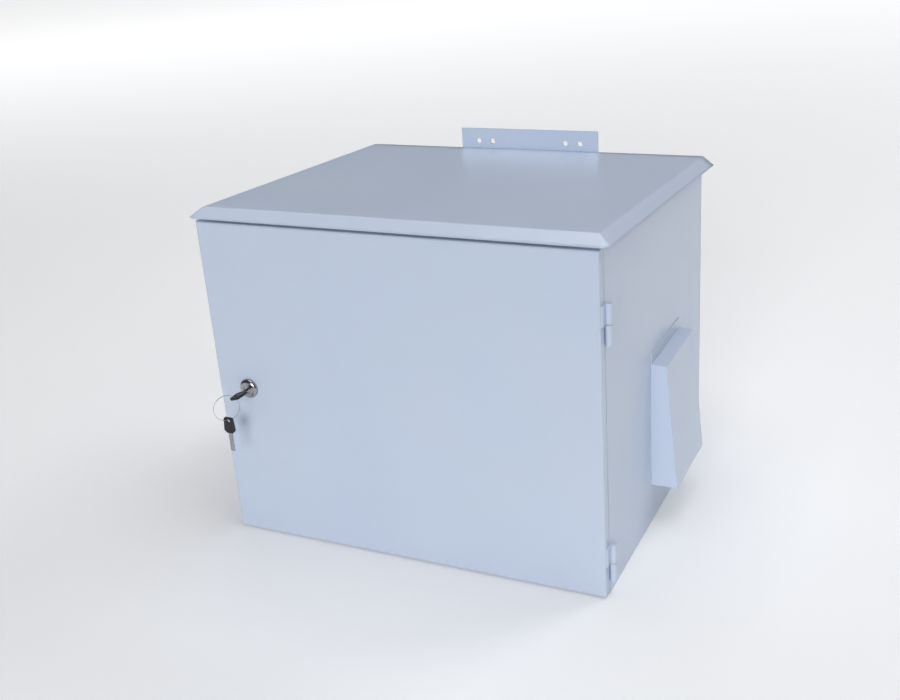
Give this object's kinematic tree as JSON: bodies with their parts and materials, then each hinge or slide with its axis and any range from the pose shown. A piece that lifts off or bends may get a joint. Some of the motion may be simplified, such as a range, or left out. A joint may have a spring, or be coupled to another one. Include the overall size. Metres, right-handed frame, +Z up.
{
  "type": "roadside utility cabinet",
  "caption": "Small outdoor steel cabinet with an overlay door on lift-off hinges, a cam lock with keys, a sloping roof, a side fan hood and rear mounting brackets.",
  "frame": {"origin": "centre of the base's underside", "axes": "+X to the hinge side, +Y to the back, +Z up; the door faces -Y"},
  "size_m": [0.6529, 0.5888, 0.522],
  "materials": {
    "cabinet_paint": "semi-gloss powder coat, pale blue-white",
    "zinc_steel": "bright zinc plated",
    "plain_steel": "plain turned steel",
    "lock_chrome": "polished chrome plate",
    "key_plastic": "black moulded plastic",
    "fan_plastic": "black glass-filled plastic",
    "seal_rubber": "black foam and rubber",
    "filter_fleece": "white filter fleece"
  },
  "bodies": {
    "cabinet": {"left_side_panel": "cabinet_paint", "right_side_panel": "cabinet_paint", "back_panel": "cabinet_paint", "base_panel": "cabinet_paint", "top_panel": "cabinet_paint", "front_frame": "cabinet_paint", "frame_lip": "cabinet_paint", "roof": "cabinet_paint", "roof_rims": "cabinet_paint", "roof_studs": "plain_steel", "roof_spacers": "seal_rubber", "roof_nuts": "zinc_steel", "upper_hinge_body_half": "cabinet_paint", "upper_hinge_pin": "plain_steel", "upper_hinge_washer": "plain_steel", "lower_hinge_body_half": "cabinet_paint", "lower_hinge_pin": "plain_steel", "lower_hinge_washer": "plain_steel", "vent_hood": "cabinet_paint", "hood_rivets": "cabinet_paint", "fan_frame": "fan_plastic", "fan_guard": "lock_chrome", "fan_screws": "zinc_steel", "fan_nuts": "zinc_steel", "intake_filter": "filter_fleece", "filter_clamp": "zinc_steel", "filter_screws": "zinc_steel", "equipment_plate": "zinc_steel", "plate_studs": "plain_steel", "plate_spacers": "zinc_steel", "plate_nuts": "zinc_steel", "gland_plate": "zinc_steel", "cable_grommets": "seal_rubber", "gland_screws": "zinc_steel", "upper_bracket": "cabinet_paint", "lower_bracket": "cabinet_paint", "bracket_bolts": "zinc_steel", "bracket_nuts": "zinc_steel", "earth_stud": "plain_steel", "earth_nuts": "zinc_steel"},
    "door": {"door_leaf": "cabinet_paint", "door_stiffener": "cabinet_paint", "door_seal": "seal_rubber", "upper_hinge_door_half": "cabinet_paint", "lower_hinge_door_half": "cabinet_paint", "lock_housing": "lock_chrome", "lock_nut": "zinc_steel"},
    "lock_core": {"lock_cylinder": "lock_chrome", "lock_cam": "zinc_steel", "cam_screw": "zinc_steel", "key_blade": "lock_chrome", "key_head": "key_plastic"},
    "key_ring": {"key_ring": "plain_steel"},
    "spare_key": {"spare_key_blade": "lock_chrome", "spare_key_head": "key_plastic"},
    "fan_rotor": {"fan_impeller": "fan_plastic"}
  },
  "joints": [
    {"name": "door_swing", "type": "hinge", "parent": "cabinet", "child": "door", "pos_m": [0.30505, -0.239, 0.25], "axis": [0, 0, 1], "range_deg": [0, 120]},
    {"name": "lock_turn", "type": "hinge", "parent": "door", "child": "lock_core", "pos_m": [-0.2477, -0.257, 0.2458], "axis": [0, -1, 0], "range_deg": [0, 90]},
    {"name": "key_ring_swing", "type": "hinge", "parent": "lock_core", "child": "key_ring", "pos_m": [-0.2477, -0.293, 0.2458], "axis": [-0.6428, -0.766, 0], "range_deg": [-10, 10]},
    {"name": "spare_key_swing", "type": "hinge", "parent": "key_ring", "child": "spare_key", "pos_m": [-0.2573, -0.30444, 0.21377], "axis": [-0.6428, -0.766, 0], "range_deg": [-40, 40]},
    {"name": "fan_spin", "type": "hinge", "parent": "cabinet", "child": "fan_rotor", "pos_m": [0.285, 0.032, 0.162], "axis": [1, 0, 0], "continuous": true}
  ]
}
